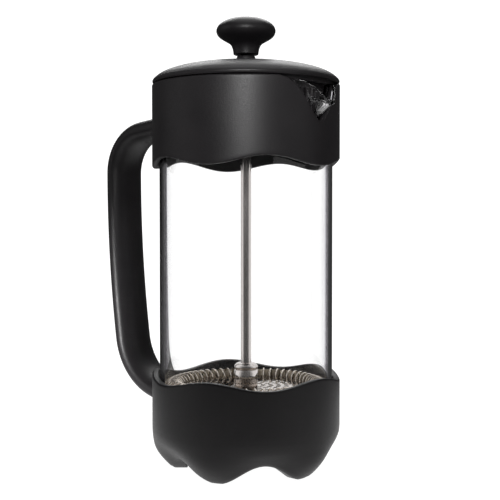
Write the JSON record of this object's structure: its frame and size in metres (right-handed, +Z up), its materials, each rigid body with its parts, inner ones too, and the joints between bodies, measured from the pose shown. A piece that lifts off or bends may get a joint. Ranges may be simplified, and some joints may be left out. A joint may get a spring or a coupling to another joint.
{
  "type": "french press",
  "caption": "Cylindrical glass coffee press with a black plastic collar, wavy base, side handle, domed lid, and a plunger with a spring-edged filter.",
  "frame": {"origin": "on the beaker's axis, in the plane that the five feet stand on", "axes": "+Z up along the beaker's axis, +X towards the spout, the handle on the -X side"},
  "size_m": [0.1668, 0.106, 0.2545],
  "materials": {
    "black_plastic": "satin, finely textured",
    "bushing_plastic": "smooth",
    "beaker_glass": "clear, polished",
    "rod_steel": "polished",
    "plate_steel": "bright rolled",
    "spring_steel": "bright wire",
    "mesh_steel": "woven wire",
    "screw_steel": "plain",
    "insert_brass": "knurled"
  },
  "bodies": {
    "frame": {"base_cup": "black_plastic", "collar": "black_plastic", "handle": "black_plastic", "collar_screws": "screw_steel", "base_screws": "screw_steel", "collar_inserts": "insert_brass", "base_inserts": "insert_brass"},
    "glass": {"beaker": "beaker_glass"},
    "lid_guide": {"rod_bushing": "bushing_plastic"},
    "lid": {"lid_cover": "black_plastic", "lid_strainer": "black_plastic"},
    "rod": {"plunger_rod": "rod_steel"},
    "knob_and_filter": {"knob": "black_plastic", "knob_insert": "insert_brass", "flange_nut": "rod_steel", "hub_sleeve": "rod_steel", "spiral_plate": "plate_steel", "edge_spring": "spring_steel", "filter_mesh": "mesh_steel", "cross_plate": "plate_steel", "cross_plate_boss": "rod_steel"}
  },
  "joints": [
    {"name": "beaker_lift", "type": "slide", "parent": "frame", "child": "glass", "axis": [0, 0, 1], "range_m": [0, 0.205]},
    {"name": "lid_lift", "type": "slide", "parent": "glass", "child": "lid_guide", "axis": [0, 0, 1], "range_m": [0, 0.19]},
    {"name": "lid_turn", "type": "hinge", "parent": "lid_guide", "child": "lid", "pos_m": [0, 0, 0.22], "axis": [0, 0, 1], "continuous": true},
    {"name": "plunger_slide", "type": "slide", "parent": "lid_guide", "child": "rod", "axis": [0, 0, 1], "range_m": [0, 0.144]},
    {"name": "plunger_turn", "type": "hinge", "parent": "rod", "child": "knob_and_filter", "pos_m": [0, 0, 0.056], "axis": [0, 0, 1], "continuous": true}
  ]
}
